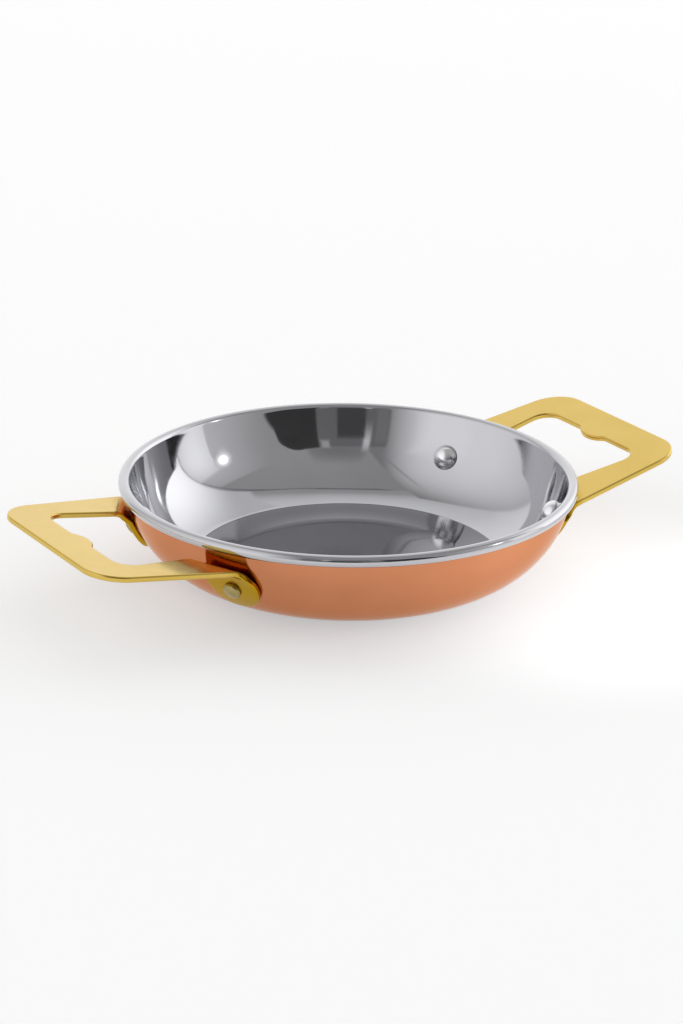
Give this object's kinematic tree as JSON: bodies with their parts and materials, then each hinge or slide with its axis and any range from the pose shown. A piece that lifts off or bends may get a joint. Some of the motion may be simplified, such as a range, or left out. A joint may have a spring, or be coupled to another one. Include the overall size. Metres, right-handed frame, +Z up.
{
  "type": "paella pan",
  "caption": "Shallow round copper pan with a polished steel lining, a rolled steel rim and a riveted brass plate handle on each side.",
  "frame": {"origin": "middle of the flat underside, on the surface that the pan stands on", "axes": "+Z up along the pan's axis, +X towards the right handle, so that the handles lie along X, +Y to the rear"},
  "size_m": [0.2361, 0.1598, 0.0331],
  "materials": {
    "steel": "mirror polished stainless steel",
    "copper": "satin polished copper",
    "brass": "polished brass plate",
    "rivet_steel": "polished steel rivet"
  },
  "bodies": {
    "root": {"inner_pan": "steel", "copper_shell": "copper", "left_handle": "brass", "right_handle": "brass", "rivet_left_front": "rivet_steel", "rivet_left_rear": "rivet_steel", "rivet_right_front": "rivet_steel", "rivet_right_rear": "rivet_steel"}
  },
  "joints": []
}
